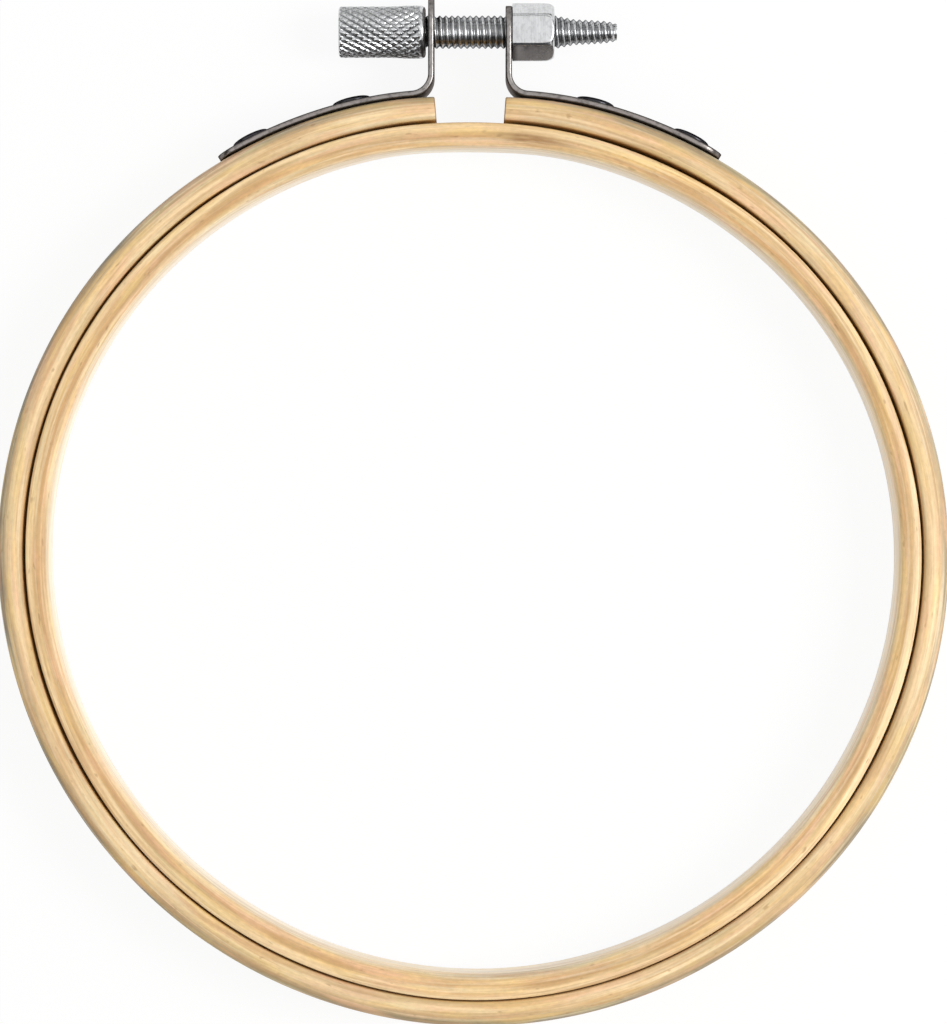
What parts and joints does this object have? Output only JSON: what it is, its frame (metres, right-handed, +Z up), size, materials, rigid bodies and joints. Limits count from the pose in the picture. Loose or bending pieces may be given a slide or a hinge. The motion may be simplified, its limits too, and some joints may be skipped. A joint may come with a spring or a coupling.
{
  "type": "embroidery hoop",
  "caption": "Round embroidery hoop: a split outer bamboo ring and a plain inner ring, drawn together by a screw with a knurled knob between riveted metal ears.",
  "frame": {"origin": "middle of the footprint, on the surface that the hoops lie on; the hoops' own centre is 5.3 mm towards -Y", "axes": "+Z up through the hoops, +Y from the hoops towards the screw, +X along the screw from the knob to the free end"},
  "size_m": [0.1078, 0.1184, 0.0085],
  "materials": {
    "outer_bamboo": "sanded bamboo with a thin satin lacquer",
    "inner_bamboo": "sanded bamboo with a thin satin lacquer",
    "plated_strip": "bent steel strip, bright nickel plated",
    "plated_turned": "turned and rolled steel, bright nickel plated"
  },
  "bodies": {
    "outer_ring": {"outer_hoop": "outer_bamboo", "right_bracket": "plated_strip", "right_inner_rivet": "plated_turned", "right_outer_rivet": "plated_turned", "clamp_nut": "plated_turned"},
    "left_clamp": {"left_bracket": "plated_strip", "left_inner_rivet": "plated_turned", "left_outer_rivet": "plated_turned"},
    "screw": {"clamp_screw": "plated_turned", "knurled_knob": "plated_turned"},
    "inner_ring": {"inner_hoop": "inner_bamboo"}
  },
  "joints": [
    {"name": "hoop_flex", "type": "hinge", "parent": "outer_ring", "child": "left_clamp", "pos_m": [0, -0.05772, 0.00425], "axis": [0, 0, -1], "range_deg": [-1.07, 0.36], "deforming": ["outer_hoop"]},
    {"name": "screw_turn", "type": "hinge", "parent": "left_clamp", "child": "screw", "pos_m": [0, 0.05525, 0.00425], "axis": [1, 0, 0], "range_deg": [-1080, 360]},
    {"name": "inner_hoop_lift", "type": "slide", "parent": "outer_ring", "child": "inner_ring", "axis": [0, 0, 1], "range_m": [0, 0.02]}
  ],
  "couplings": [
    {"joint": "hoop_flex", "follows": "screw_turn", "ratio": 0.000986}
  ]
}
